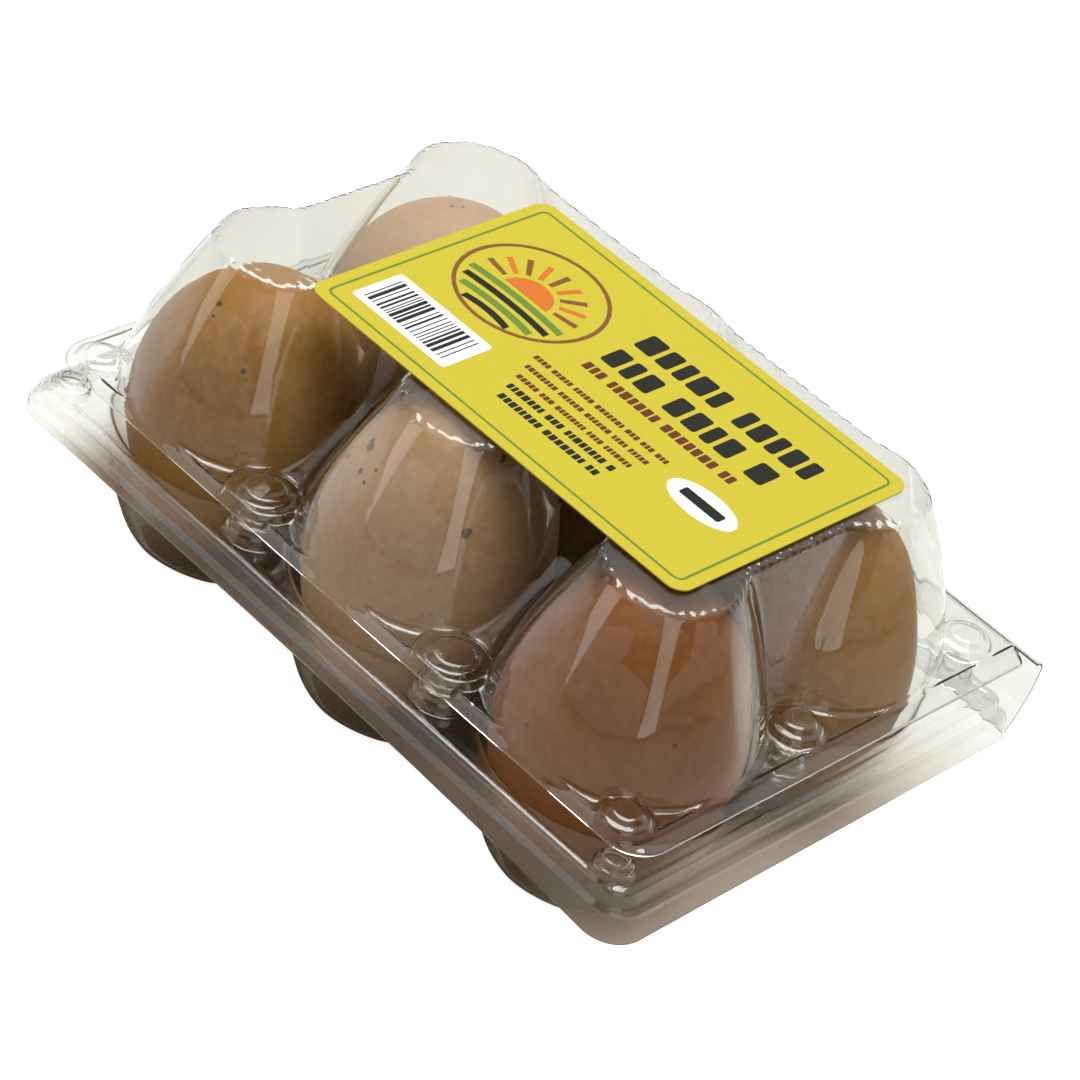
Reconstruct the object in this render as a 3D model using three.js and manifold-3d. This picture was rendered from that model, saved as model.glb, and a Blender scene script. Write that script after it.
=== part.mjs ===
// A clear clamshell pack of six eggs, closed: a tray with six cups, a hinged lid with six domes,
// a printed label on the lid and the eggs. Millimetres, +Z up. The opening side faces -Y and the
// folded hinge strip runs along +Y. The origin is on the table, under the middle of the pack's box.
import * as THREE from "three";
import { mergeVertices } from "three/addons/utils/BufferGeometryUtils.js";
import Module from "manifold-3d";

const wasm = await Module();
wasm.setup();

// Driving dimensions of the pack
const pitchX = 47.4; // between cups along the long side
const pitchY = 46.8; // between the two rows
const sheet = 0.7; // wall of the domes and cups
const plate = 0.8; // wall of the flanges, skirt and hinge strip
const shelfZ = 25.4; // top of the tray's shelf
const flangeZ = 32.5; // top of the lid's flange, held off the shelf by the tall eggs
const plateauZ = 64; // flat top of the lid
const gap = 0.3; // clear space between pieces that rest together

// Tray: the rim outside the cups, from the shelf's edge down to the foot of the skirt
const shelfEdge = { halfX: 73.6, y: 48.6, radius: 6 };
const ledgeInner = { halfX: 74.4, y: 49.2, radius: 6.6 };
const ledgeOuter = { halfX: 76.2, y: 50.6, radius: 8 };
const skirtFoot = { halfX: 77.2, y: 51.4, radius: 9 };
const ledgeZ = 22.2;
const ledgeFall = 0.4; // the ledge slopes down outwards by this much
const skirtFootZ = 16.9;
const trayBackRadius = 2; // corners beside the hinge are nearly square
const cupProfile = [[0, 13.4], [1.2, 14.8], [6, 18.7], [14, 21.6], [shelfZ, 23.4]]; // height, radius
const cupSides = 20;
const buttonSides = 12;

// Lid: the flange with its sloped lip, and the domes
const lidCrease = { halfX: 71.8, y: 47.2, radius: 4.6 };
const lidLip = { halfX: 76.3, y: 48.4, radius: 7 };
const lipFall = 1.1;
const lidBackRadius = 1;
const domeProfile = [[flangeZ, 23.7], [39, 22.9], [47, 20.4], [56, 16.4], [62.4, 13], [plateauZ, 11.6]];
const domeCreases = 8; // soft vertical creases round each dome
const flatLow = 0.985; // half way between creases the wall stands in by this factor at the flange
const flatHigh = 0.955; // and by this factor at the top
const cutBelow = 3; // how far a hollow's cutter reaches below the flange

// Lid: the raised middle that joins the domes, with a ramp in each front valley
const spineFoot = { halfX: 60, front: -34, back: 43, corner: 10 };
const spineTop = { halfX: 55, front: -23.4, back: 34.5, corner: 9 };
const ramp = { footY: -34, topY: 6, slant: 1.6 }; // slant is the sheet's level width over its thickness
const notch = { mouthY: -36, mouthHalf: 16, tipY: 5, tipHalf: 2 }; // plan of a front valley, narrowing inwards

// Snap buttons on the shelf and their caps in the lid, from the middle of the cup grid
const frontButtonY = -41.3;
const cornerButton = [67.3, -41.8];
const endButtonX = 65.9;
const backButtonY = 44.7;
const frontCap = { radius: 6.6, height: 1.6 };
const cornerCap = { radius: 4.2, height: 1.4 };
const endCap = { radius: 4.3, height: 2.6 };
const frontButton = { radius: 5, height: 4 };
const cornerButtonSize = { radius: 3.5, height: 3 };
const endButton = { radius: 3.2, height: 3 };

// Hinge strip: stands on the skirt's foot and reaches the lid's back edge
const lidBackY = 54.4;
const stripHalfX = 76.3;
const stripTopZ = flangeZ - gap;

// Label on the lid, from the middle of the cup grid
const label = { x: 8.5, y: 0.5, halfX: 44.8, halfY: 29, radius: 3, thickness: 0.3, curveSteps: 5 };

// Eggs: greatest radius, height, how much one end is narrower, which end is up, and lean in degrees
const eggs = {
  egg_front_left: { column: -1, row: -1, radius: 20.9, height: 54.8, taper: 0.05, narrowUp: false, lean: 0.5 },
  egg_front_middle: { column: 0, row: -1, radius: 21.5, height: 61.4, taper: 0.03, narrowUp: true, lean: 0.2 },
  egg_front_right: { column: 1, row: -1, radius: 21.3, height: 60.2, taper: 0.08, narrowUp: true, lean: 0.6 },
  egg_back_left: { column: -1, row: 1, radius: 21.2, height: 54, taper: 0.1, narrowUp: false, lean: -0.8 },
  egg_back_middle: { column: 0, row: 1, radius: 21.2, height: 57, taper: 0.12, narrowUp: true, lean: 0.5 },
  egg_back_right: { column: 1, row: 1, radius: 20.5, height: 57, taper: 0.17, narrowUp: true, lean: -1 },
};
const eggRings = 14;
const eggSides = 22;
const eggLift = 0.3; // space under a leaning egg

// The pack's box runs from the skirt in front to the hinge strip behind: its middle is the origin
const stripBackY = lidBackY + gap + plate;
const gridY = -(stripBackY - skirtFoot.y) / 2;

const clear = (colour, opacity) => new THREE.MeshStandardMaterial({
  color: colour, roughness: 0.12, metalness: 0, transparent: true, opacity,
});
const shell = (colour) => new THREE.MeshStandardMaterial({ color: colour, roughness: 0.55, metalness: 0 });
const materials = {
  tray: clear(0xe4e8dc, 0.35),
  lid: clear(0xe9ecdf, 0.3),
  label: new THREE.MeshStandardMaterial({ color: 0xe1d24b, roughness: 0.45, metalness: 0 }),
  egg_front_left: shell(0xa9763f),
  egg_front_middle: shell(0xa08a62),
  egg_front_right: shell(0x9c6330),
  egg_back_left: shell(0xd0ab8b),
  egg_back_middle: shell(0xb58556),
  egg_back_right: shell(0x9a6a3c),
};

// A closed solid from a geometry, and back
function toSolid(geometry) {
  const bare = geometry.clone();
  bare.deleteAttribute("normal");
  bare.deleteAttribute("uv");
  const merged = mergeVertices(bare, 1e-4);
  return new wasm.Manifold(new wasm.Mesh({
    numProp: 3,
    vertProperties: new Float32Array(merged.attributes.position.array),
    triVerts: new Uint32Array(merged.index.array),
  }));
}

function toGeometry(solid) {
  const mesh = solid.getMesh();
  const geometry = new THREE.BufferGeometry();
  geometry.setAttribute("position", new THREE.BufferAttribute(new Float32Array(mesh.vertProperties), 3));
  geometry.setIndex(new THREE.BufferAttribute(new Uint32Array(mesh.triVerts), 1));
  geometry.computeVertexNormals();
  return geometry;
}

// A closed solid through rings of equal point count, each convex and counter-clockwise, from low to high
function loft(rings) {
  const count = rings[0].length;
  const positions = rings.flat(2);
  const index = [];
  for (let level = 0; level < rings.length - 1; level += 1) {
    for (let i = 0; i < count; i += 1) {
      const next = (i + 1) % count;
      const low = level * count;
      const high = low + count;
      index.push(low + i, low + next, high + next, low + i, high + next, high + i);
    }
  }
  const top = (rings.length - 1) * count;
  for (let i = 1; i < count - 1; i += 1) {
    index.push(0, i + 1, i);
    index.push(top, top + i, top + i + 1);
  }
  const geometry = new THREE.BufferGeometry();
  geometry.setAttribute("position", new THREE.Float32BufferAttribute(positions, 3));
  geometry.setIndex(index);
  return toSolid(geometry);
}

// A ring on a rectangle with round corners, its front corners rounder than its back ones
function rectangleRing(halfX, yFront, yBack, frontRadius, backRadius, z) {
  const steps = 5;
  const corners = [
    [halfX, yBack, backRadius, 0],
    [-halfX, yBack, backRadius, 1],
    [-halfX, yFront, frontRadius, 2],
    [halfX, yFront, frontRadius, 3],
  ];
  const ring = [];
  for (const [x, y, radius, quarter] of corners) {
    const centreX = x - Math.sign(x) * radius;
    const centreY = y - (quarter < 2 ? 1 : -1) * radius;
    for (let i = 0; i <= steps; i += 1) {
      const angle = (quarter + i / steps) * Math.PI / 2;
      ring.push([centreX + radius * Math.cos(angle), centreY + radius * Math.sin(angle), z]);
    }
  }
  return ring;
}

// A ring on a circle whose wall stands in by a factor half way between its creases
function dentedRing(x, y, radius, z, sides, creases, flat) {
  const ring = [];
  for (let i = 0; i < sides; i += 1) {
    const angle = i / sides * Math.PI * 2;
    const between = (1 - Math.cos(angle * creases)) / 2;
    const reach = radius * (1 + (flat - 1) * between);
    ring.push([x + reach * Math.cos(angle), y + reach * Math.sin(angle), z]);
  }
  return ring;
}

// A low button with a round top
function button(x, y, size, baseZ) {
  const profile = [[0, 1], [0.45, 0.94], [0.8, 0.74], [1, 0.4]];
  return loft(profile.map(([up, out]) => dentedRing(
    x, y, size.radius * out, baseZ + size.height * up, buttonSides, 1, 1)));
}

const thinner = (size, wall) => ({ radius: size.radius - wall, height: size.height });
const joinAll = (solids) => solids.reduce((whole, solid) => whole.add(solid));
const cutAll = (solid, cutters) => cutters.reduce((rest, cutter) => rest.subtract(cutter), solid);

// The middles of the six cups
const columns = [-1, 0, 1];
const rows = [-1, 1];
const cells = columns.flatMap((column) => rows.map((row) => [column * pitchX, row * pitchY / 2]));

// Where each kind of button stands
const frontPlaces = [-pitchX / 2, pitchX / 2].map((x) => [x, frontButtonY]);
const cornerPlaces = [[-cornerButton[0], cornerButton[1]], cornerButton];
const endPlaces = [-endButtonX, endButtonX].flatMap((x) => [[x, 0], [x, backButtonY]]);

// Tray

function cup([x, y], wall) {
  const rings = cupProfile.map(([z, radius], i) => {
    const height = i === 0 ? wall : z + wall * (z < shelfZ ? 0.3 : 0);
    return dentedRing(x, y, radius - wall, height, cupSides, 1, 1);
  });
  if (wall > 0) {
    const [, mouth] = cupProfile[cupProfile.length - 1];
    rings.push(dentedRing(x, y, mouth - wall, shelfZ + cutBelow, cupSides, 1, 1));
  }
  return loft(rings);
}

// The shelf, its edge, the ledge and the skirt, moved inwards and down by the wall for the hollow
function rimForm(wall) {
  const ring = (size, z) => rectangleRing(
    size.halfX - wall, -size.y + wall, size.y - wall, size.radius - wall / 2, trayBackRadius, z);
  return loft([
    ring(skirtFoot, skirtFootZ - (wall > 0 ? cutBelow : 0)),
    ring(skirtFoot, skirtFootZ + plate / 4),
    ring(ledgeOuter, ledgeZ - ledgeFall - wall),
    ring(ledgeInner, ledgeZ - wall),
    ring(shelfEdge, shelfZ - wall),
  ]);
}

// The strip leans back from the skirt's foot, then stands upright behind the lid's back edge
function hingeStrip() {
  const footY = skirtFoot.y - plate / 2;
  const topY = lidBackY + gap;
  const bendZ = flangeZ - lipFall - plate - gap;
  const outline = new THREE.Shape();
  outline.moveTo(footY, skirtFootZ);
  outline.lineTo(footY + plate, skirtFootZ);
  outline.lineTo(topY + plate, bendZ);
  outline.lineTo(topY + plate, stripTopZ);
  outline.lineTo(topY, stripTopZ);
  outline.lineTo(topY, bendZ);
  outline.closePath();
  const geometry = new THREE.ExtrudeGeometry(outline, { depth: stripHalfX * 2, bevelEnabled: false });
  geometry.rotateX(Math.PI / 2);
  geometry.rotateZ(Math.PI / 2);
  geometry.translate(-stripHalfX, 0, 0);
  return toSolid(geometry);
}

function tray() {
  const hollows = cells.map((cell) => cup(cell, sheet));
  const cups = joinAll(cells.map((cell) => cup(cell, 0)));
  const body = rimForm(0).subtract(rimForm(plate)).add(cups).add(hingeStrip());
  const buttons = [
    ...frontPlaces.map(([x, y]) => button(x, y, frontButton, shelfZ - plate / 2)),
    ...cornerPlaces.map(([x, y]) => button(x, y, cornerButtonSize, shelfZ - plate / 2)),
    ...endPlaces.map(([x, y]) => button(x, y, endButton, shelfZ - plate / 2)),
  ];
  return cutAll(body.add(joinAll(buttons)), hollows);
}

// Lid

function dome([x, y], wall) {
  const sides = domeCreases * 3;
  const rings = domeProfile.map(([z, radius]) => {
    const rise = (z - flangeZ) / (plateauZ - flangeZ);
    const flat = flatLow + (flatHigh - flatLow) * rise;
    return dentedRing(x, y, radius - wall, z - wall * (z > flangeZ ? rise : 0), sides, domeCreases, flat);
  });
  const [, foot] = domeProfile[0];
  const footZ = flangeZ - (wall > 0 ? cutBelow : plate);
  return loft([dentedRing(x, y, foot - wall, footZ, sides, domeCreases, flatLow), ...rings]);
}

function spineForm(wall) {
  const ring = ({ halfX, front, back, corner }, z) => {
    const side = halfX - wall;
    const rear = back - wall;
    return [
      [-side, front, z], [side, front, z], [side, rear - corner, z],
      [side - corner, rear, z], [-side + corner, rear, z], [-side, rear - corner, z],
    ];
  };
  const footZ = flangeZ - (wall > 0 ? cutBelow : plate);
  const block = loft([ring(spineFoot, footZ), ring(spineFoot, flangeZ), ring(spineTop, plateauZ - wall)]);
  return block.subtract(rampSpace(wall));
}

// The space above the ramps in the two front valleys
function rampSpace(wall) {
  const shift = wall * ramp.slant;
  const rise = (plateauZ - flangeZ) / (ramp.topY - ramp.footY);
  const past = pitchY;
  const outline = new THREE.Shape();
  outline.moveTo(ramp.footY + shift - past, flangeZ - past * rise);
  outline.lineTo(ramp.topY + shift + past, plateauZ + past * rise);
  outline.lineTo(ramp.footY + shift - past, plateauZ + past * rise);
  outline.closePath();
  const geometry = new THREE.ExtrudeGeometry(outline, { depth: pitchX * 2, bevelEnabled: false });
  geometry.rotateX(Math.PI / 2);
  geometry.rotateZ(Math.PI / 2);
  geometry.translate(-pitchX, 0, 0);
  const valleys = joinAll(frontPlaces.map(([x]) => loft([flangeZ - past, plateauZ + past].map((z) => [
    [x - notch.mouthHalf - wall, notch.mouthY, z],
    [x + notch.mouthHalf + wall, notch.mouthY, z],
    [x + notch.tipHalf + wall, notch.tipY + shift, z],
    [x - notch.tipHalf - wall, notch.tipY + shift, z],
  ]))));
  return toSolid(geometry).intersect(valleys);
}

// The domes and the middle as one form
const lidForm = (wall) => joinAll(cells.map((cell) => dome(cell, wall))).add(spineForm(wall));

function flange() {
  const ring = (size, inset, z) => rectangleRing(
    size.halfX - inset, -size.y + inset, lidBackY - inset, size.radius - inset / 2, lidBackRadius, z);
  const lipZ = flangeZ - lipFall;
  const whole = loft([ring(lidLip, 0, lipZ - plate), ring(lidLip, 0, lipZ), ring(lidCrease, 0, flangeZ)]);
  const under = loft([
    ring(lidLip, plate, lipZ - plate - cutBelow),
    ring(lidLip, plate, lipZ - plate),
    ring(lidCrease, plate, flangeZ - plate),
  ]);
  return whole.subtract(under);
}

function lid() {
  const caps = [
    ...frontPlaces.map((place) => [place, frontCap]),
    ...cornerPlaces.map((place) => [place, cornerCap]),
    ...endPlaces.map((place) => [place, endCap]),
  ];
  const raised = joinAll(caps.map(([[x, y], size]) => button(x, y, size, flangeZ - plate)));
  const sunk = caps.map(([[x, y], size]) => button(x, y, thinner(size, sheet), flangeZ - plate * 2));
  const openDomes = lidForm(0).add(flange()).subtract(lidForm(sheet));
  return cutAll(openDomes.add(raised), sunk);
}

// Label: a card with round corners, lying on the plateau

function labelCard() {
  const { halfX, halfY, radius } = label;
  const outline = new THREE.Shape();
  outline.moveTo(-halfX + radius, -halfY);
  outline.lineTo(halfX - radius, -halfY);
  outline.absarc(halfX - radius, -halfY + radius, radius, -Math.PI / 2, 0, false);
  outline.absarc(halfX - radius, halfY - radius, radius, 0, Math.PI / 2, false);
  outline.absarc(-halfX + radius, halfY - radius, radius, Math.PI / 2, Math.PI, false);
  outline.absarc(-halfX + radius, -halfY + radius, radius, Math.PI, Math.PI * 1.5, false);
  return new THREE.ExtrudeGeometry(outline, {
    depth: label.thickness, bevelEnabled: false, curveSegments: label.curveSteps,
  });
}

// Eggs: round about their own upright axis, one end narrower than the other

function eggGeometry({ radius, height, taper, narrowUp }) {
  const profile = [];
  for (let i = 0; i <= eggRings; i += 1) {
    const angle = i / eggRings * Math.PI;
    const along = -Math.cos(angle);
    const narrowing = 1 - (narrowUp ? taper : -taper) * along;
    const reach = i % eggRings === 0 ? 0 : radius * Math.sin(angle) * narrowing / (1 + taper * taper / 2);
    profile.push(new THREE.Vector2(reach, along * height / 2));
  }
  const geometry = new THREE.LatheGeometry(profile, eggSides);
  geometry.rotateX(Math.PI / 2);
  return toGeometry(toSolid(geometry));
}

const pack = new THREE.Group();
pack.position.y = gridY;

function addPiece(name, geometry, material) {
  const piece = new THREE.Mesh(geometry, material);
  piece.name = name;
  pack.add(piece);
  return piece;
}

addPiece("tray", toGeometry(tray()), materials.tray);
addPiece("lid", toGeometry(lid()), materials.lid);
addPiece("label", labelCard(), materials.label).position.set(label.x, label.y, plateauZ + gap);
for (const [name, egg] of Object.entries(eggs)) {
  const piece = addPiece(name, eggGeometry(egg), materials[name]);
  const floorZ = sheet + eggLift;
  piece.position.set(egg.column * pitchX, egg.row * pitchY / 2, floorZ + egg.height / 2);
  piece.rotation.x = THREE.MathUtils.degToRad(egg.lean);
}

export default pack;
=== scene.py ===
import math
import random

import bmesh
import bpy
import numpy as np
from mathutils import Matrix, Vector
from mathutils.bvhtree import BVHTree


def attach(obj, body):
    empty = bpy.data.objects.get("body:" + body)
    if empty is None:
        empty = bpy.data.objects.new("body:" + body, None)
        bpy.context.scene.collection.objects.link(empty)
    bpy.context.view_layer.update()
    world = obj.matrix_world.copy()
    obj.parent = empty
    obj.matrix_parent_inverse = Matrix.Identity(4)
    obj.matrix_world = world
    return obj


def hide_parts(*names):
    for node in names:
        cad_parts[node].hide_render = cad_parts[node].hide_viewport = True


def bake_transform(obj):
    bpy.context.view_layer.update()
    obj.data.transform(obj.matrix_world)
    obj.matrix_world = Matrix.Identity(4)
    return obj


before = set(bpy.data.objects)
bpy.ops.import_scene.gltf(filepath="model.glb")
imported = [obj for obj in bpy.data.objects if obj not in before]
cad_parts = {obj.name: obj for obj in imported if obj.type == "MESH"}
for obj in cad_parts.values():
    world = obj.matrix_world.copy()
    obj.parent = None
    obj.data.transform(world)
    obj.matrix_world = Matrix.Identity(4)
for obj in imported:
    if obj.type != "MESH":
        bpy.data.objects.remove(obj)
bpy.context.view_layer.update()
print("frame loaded")

# All sizes below are in millimetres, from the middle of the cup grid. Blender works in metres.
mm = 0.001
gridY = -2.05  # the cup grid stands this far in front of the middle of the pack's box

pack = {
    "pitchX": 47.4,
    "pitchY": 46.8,
    "wall": 0.42,
    "shelfZ": 25.4,
    "flangeZ": 32.5,
    "plateauZ": 64.0,
    "columns": (-1, 0, 1),
    "rows": (-1, 1),
}

cells = [
    (column * pack["pitchX"], row * pack["pitchY"] / 2)
    for column in pack["columns"]
    for row in pack["rows"]
]

snaps = {
    "frontX": pack["pitchX"] / 2,
    "frontY": -41.3,
    "cornerX": 65.8,
    "cornerY": -42.2,
    "buttonX": 68.6,
    "buttonY": -45.3,
    "endX": 65.4,
    "backY": 44.7,
}


def bothSides(x, *ys):
    return [(side * x, y) for side in (-1, 1) for y in ys]


# the lid's caps and the tray's buttons stand in the same places, but not quite at the corners
capPlaces = {
    "front": bothSides(snaps["frontX"], snaps["frontY"]),
    "corner": bothSides(snaps["cornerX"], snaps["cornerY"]),
    "end": bothSides(snaps["endX"], 0, snaps["backY"]),
}
buttonPlaces = {**capPlaces, "corner": bothSides(snaps["buttonX"], snaps["buttonY"])}


# Fields: each gives a number that is below zero inside a form, about the distance in millimetres

def softMax(a, b, blend):
    share = np.clip(0.5 + 0.5 * (a - b) / blend, 0, 1)
    return b + (a - b) * share + blend * share * (1 - share)


def softMin(a, b, blend):
    return -softMax(-a, -b, blend)


def throughPoints(z, points):
    # a smooth line through (height, radius) points
    heights = np.array([p[0] for p in points], float)
    radii = np.array([p[1] for p in points], float)
    slopes = np.gradient(radii, heights)
    z = np.clip(z, heights[0], heights[-1])
    i = np.clip(np.searchsorted(heights, z) - 1, 0, len(heights) - 2)
    span = heights[i + 1] - heights[i]
    t = (z - heights[i]) / span
    rest = 1 - t
    return (
        radii[i] * (1 + 2 * t) * rest ** 2
        + slopes[i] * span * t * rest ** 2
        + radii[i + 1] * t ** 2 * (3 - 2 * t)
        - slopes[i + 1] * span * t ** 2 * rest
    )


def roundRectangle(x, y, halfX, front, back, frontRadius, backRadius):
    middle = (front + back) / 2
    radius = np.where(y < middle, frontRadius, backRadius)
    acrossX = np.abs(x) - halfX + radius
    acrossY = np.abs(y - middle) - (back - front) / 2 + radius
    outside = np.hypot(np.maximum(acrossX, 0), np.maximum(acrossY, 0))
    return np.minimum(np.maximum(acrossX, acrossY), 0) + outside - radius


def creaseRing(angle, count, soft):
    # 1 at each crease, falling to the flat of a polygon half way between two
    step = 2 * math.pi / count
    fromCrease = (angle + step / 2) % step - step / 2
    rounded = np.sqrt(fromCrease ** 2 + soft ** 2)
    return math.cos(step / 2) / np.cos(step / 2 - rounded)


def stud(x, y, z, place, radius, top, slope, blend):
    # a low round boss with a flat top
    wall = np.hypot(x - place[0], y - place[1]) - radius + (z - top) * slope
    return softMax(wall, z - top, blend)


def withStuds(body, x, y, z, shapes, baseZ, places):
    # adds each kind's stepped boss at its places; shapes also gives the walls' slope and blend
    for kind, kindPlaces in places.items():
        for place in kindPlaces:
            for radius, height in shapes[kind]:
                boss = stud(x, y, z, place, radius, baseZ + height, shapes["slope"], shapes["blend"])
                body = softMin(body, boss, shapes["blend"])
    return body


# Mesh from a field

net = {
    "reach": 0.01,  # how far to each side the slope is measured
    "leastSlope": 0.05,
    "longestMove": 0.4,
    "surfaceSteps": 4,
    "lastSteps": 2,
    "footSteps": 4,
    "overFoot": 0.05,  # points this far above the foot are free to move
    "margin": 2.0,  # the grid reaches this far round the sheet
    "fineUp": 0.8,  # a sheet's fine step is shorter by this upwards
}


def surfaceNet(field, xs, ys, zs):
    # one point in every cell that the surface crosses, joined into quads
    grid = np.meshgrid(xs, ys, zs, indexing="ij")
    values = field(*grid)
    below = values < 0
    shape = tuple(n - 1 for n in values.shape)
    corners = [(i, j, k) for i in (0, 1) for j in (0, 1) for k in (0, 1)]

    def corner(array, place):
        i, j, k = place
        return array[i:i + shape[0], j:j + shape[1], k:k + shape[2]]

    count = sum(corner(below, c).astype(np.int8) for c in corners)
    cellIndex = np.argwhere((count > 0) & (count < 8))
    number = np.full(shape, -1, np.int64)
    number[tuple(cellIndex.T)] = np.arange(len(cellIndex))
    total = np.zeros((len(cellIndex), 3))
    hits = np.zeros(len(cellIndex))
    axes = [np.asarray(a, float) for a in (xs, ys, zs)]
    for a in corners:
        for axis in range(3):
            if a[axis]:
                continue
            b = tuple(v + (n == axis) for n, v in enumerate(a))
            ia = cellIndex + a
            ib = cellIndex + b
            va = values[tuple(ia.T)]
            vb = values[tuple(ib.T)]
            crossed = (va < 0) != (vb < 0)
            t = np.where(crossed, va / np.where(crossed, va - vb, 1), 0)
            pa = np.stack([axes[n][ia[:, n]] for n in range(3)], 1)
            pb = np.stack([axes[n][ib[:, n]] for n in range(3)], 1)
            total += np.where(crossed[:, None], pa + (pb - pa) * t[:, None], 0)
            hits += crossed
    points = total / hits[:, None]
    quads = []
    for axis in range(3):
        u, v = (axis + 1) % 3, (axis + 2) % 3
        low = np.take(below, range(below.shape[axis] - 1), axis)
        high = np.take(below, range(1, below.shape[axis]), axis)
        edges = np.argwhere(low != high)
        past = (edges[:, u] > 0) & (edges[:, v] > 0)
        short = (edges[:, u] < shape[u]) & (edges[:, v] < shape[v])
        edges = edges[past & short]
        ring = []
        for du, dv in ((-1, -1), (0, -1), (0, 0), (-1, 0)):
            near = edges.copy()
            near[:, u] += du
            near[:, v] += dv
            ring.append(number[tuple(near.T)])
        quad = np.stack(ring, 1)
        rising = low[tuple(edges.T)]
        quad[~rising] = quad[~rising][:, ::-1]
        quads.append(quad[(quad >= 0).all(1)])
    return points, np.concatenate(quads)


def slopeOf(field, points):
    x, y, z = points.T
    reach = net["reach"]
    return np.stack([
        field(x + reach, y, z) - field(x - reach, y, z),
        field(x, y + reach, z) - field(x, y - reach, z),
        field(x, y, z + reach) - field(x, y, z - reach),
    ], 1) / (2 * reach)


def nearer(field, points, level=False):
    # one step towards the surface, sideways only where level
    slope = slopeOf(field, points)
    if level:
        slope[:, 2] = 0
    size = np.maximum((slope ** 2).sum(1), net["leastSlope"])
    move = field(*points.T)[:, None] * slope / size[:, None]
    return points - np.clip(move, -net["longestMove"], net["longestMove"])


def ontoSurface(field, points, steps):
    for _ in range(steps):
        points = nearer(field, points)
    return points


def bands(low, high, step, fine, places):
    # grid lines from low to high, closer together round the given places (from, to)
    lines = [low]
    while lines[-1] < high:
        at = lines[-1]
        close = any(a <= at <= b for a, b in places)
        lines.append(at + (fine if close else step))
    return np.array(lines)


def gridLines(sheet, low, high):
    # lines along x, y and z over a box, closer together where the sheet asks for it
    fine = (sheet["fine"], sheet["fine"], sheet["fine"] * net["fineUp"])
    rows = zip(low, high, fine, sheet["fineBands"])
    return [bands(a, b, sheet["step"], closest, places) for a, b, closest, places in rows]


def meshObject(name, points, faces, smooth=True):
    mesh = bpy.data.meshes.new(name)
    mesh.from_pydata([tuple(p) for p in points], [], [tuple(f) for f in faces])
    mesh.update()
    if smooth:
        mesh.shade_smooth()
    piece = bpy.data.objects.new(name, mesh)
    bpy.context.scene.collection.objects.link(piece)
    return piece


def toMetres(points):
    return (np.asarray(points, float) + (0, gridY, 0)) * mm


def fewerFaces(points, quads, wanted):
    # lets the flat stretches have large triangles and the creases keep small ones
    rough = meshObject("rough", points, quads.tolist(), smooth=False)
    modifier = rough.modifiers.new("fewer", "DECIMATE")
    modifier.ratio = min(wanted / (2 * len(quads)), 1)
    modifier.use_collapse_triangulate = True
    shaped = rough.evaluated_get(bpy.context.evaluated_depsgraph_get()).to_mesh()
    shaped.calc_loop_triangles()
    found = np.zeros(len(shaped.vertices) * 3)
    shaped.vertices.foreach_get("co", found)
    triangles = np.zeros(len(shaped.loop_triangles) * 3, np.int64)
    shaped.loop_triangles.foreach_get("vertices", triangles)
    mesh = rough.data
    bpy.data.objects.remove(rough)
    bpy.data.meshes.remove(mesh)
    return found.reshape(-1, 3), triangles.reshape(-1, 3)


def unit(vectors):
    return vectors / np.maximum(np.linalg.norm(vectors, axis=1), 1e-9)[:, None]


def cutAtFoot(field, points, faces, foot):
    # drops what lies below the foot's height and draws the last row of points onto it
    over = points[:, 2] - foot(*points.T)
    faces = faces[(over > 0)[faces].any(1)]
    used = np.unique(faces)
    renumber = np.full(len(points), -1)
    renumber[used] = np.arange(len(used))
    points, faces, under = points[used], renumber[faces], over[used] <= 0
    for _ in range(net["footSteps"]):
        row = points[under]
        row[:, 2] = foot(*row.T)
        points[under] = nearer(field, row, level=True)
    return points, faces


def thinSheet(name, field, lines, wall, foot, wanted):
    # a closed shell whose outer face is the field's surface, cut at the height that foot() gives
    points, quads = surfaceNet(field, *lines)
    points = ontoSurface(field, points, net["surfaceSteps"])
    points, quads = cutAtFoot(field, points, quads, foot)
    points, faces = fewerFaces(points, quads, wanted)
    over = points[:, 2] > foot(*points.T) + net["overFoot"]
    points[over] = ontoSurface(field, points[over], net["lastSteps"])
    normal = unit(slopeOf(field, points))
    count = len(points)
    sides = np.concatenate([faces[:, [a, (a + 1) % 3]] for a in range(3)])
    known = set(map(tuple, sides.tolist()))
    rim = [(a, b) for a, b in known if (b, a) not in known]
    rimFaces = [(b, a, a + count, b + count) for a, b in rim]
    both = np.concatenate([points, points - normal * wall])
    allFaces = faces.tolist() + (faces[:, ::-1] + count).tolist() + rimFaces
    piece = meshObject(name, toMetres(both), allFaces)
    # the true normals of the surface, and flat ones on the cut edge
    outer, inner = normal[faces.ravel()], -normal[faces[:, ::-1].ravel()]
    flat = [piece.data.polygons[2 * len(faces) + i].normal for i in range(len(rimFaces))]
    cut = np.repeat(np.array(flat), 4, axis=0)
    piece.data.normals_split_custom_set(np.concatenate([outer, inner, cut]).tolist())
    print(name, "has", len(piece.data.polygons), "faces")
    return piece


# Lid

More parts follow.
